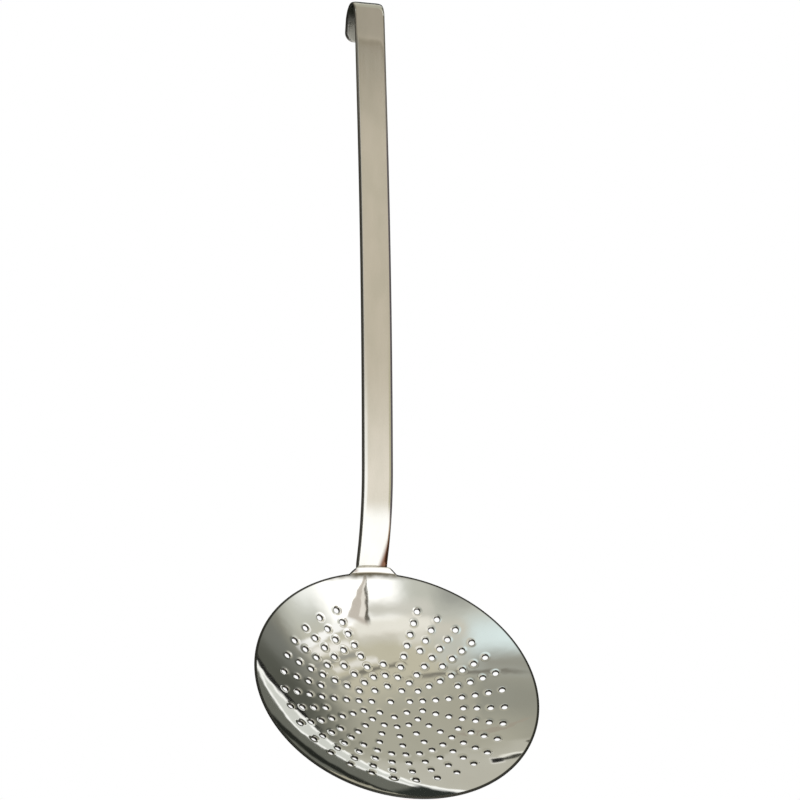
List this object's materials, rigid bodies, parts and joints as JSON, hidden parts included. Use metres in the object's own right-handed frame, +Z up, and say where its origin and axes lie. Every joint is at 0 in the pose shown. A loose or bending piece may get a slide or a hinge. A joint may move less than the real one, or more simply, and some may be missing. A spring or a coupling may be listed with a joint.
{
  "type": "skimmer",
  "caption": "Steel kitchen skimmer: a shallow perforated dish set at an angle on a long flat, gently bowed handle with a hanging hook, for lifting food out of hot liquid.",
  "frame": {"origin": "where a rail carries the hook: the top of the hook's inside, in the middle of the bar", "axes": "+Z up along the grip, -Y the way the dish opens, +X to the right seen from the front"},
  "size_m": [0.141, 0.0804, 0.419],
  "materials": {
    "polished_steel": "mirror polished",
    "satin_steel": "polished, fine lengthwise satin",
    "weld_steel": "raw weld"
  },
  "bodies": {
    "root": {"bowl": "polished_steel", "handle": "satin_steel", "spot_weld_1": "weld_steel", "spot_weld_2": "weld_steel", "spot_weld_3": "weld_steel"}
  },
  "joints": []
}
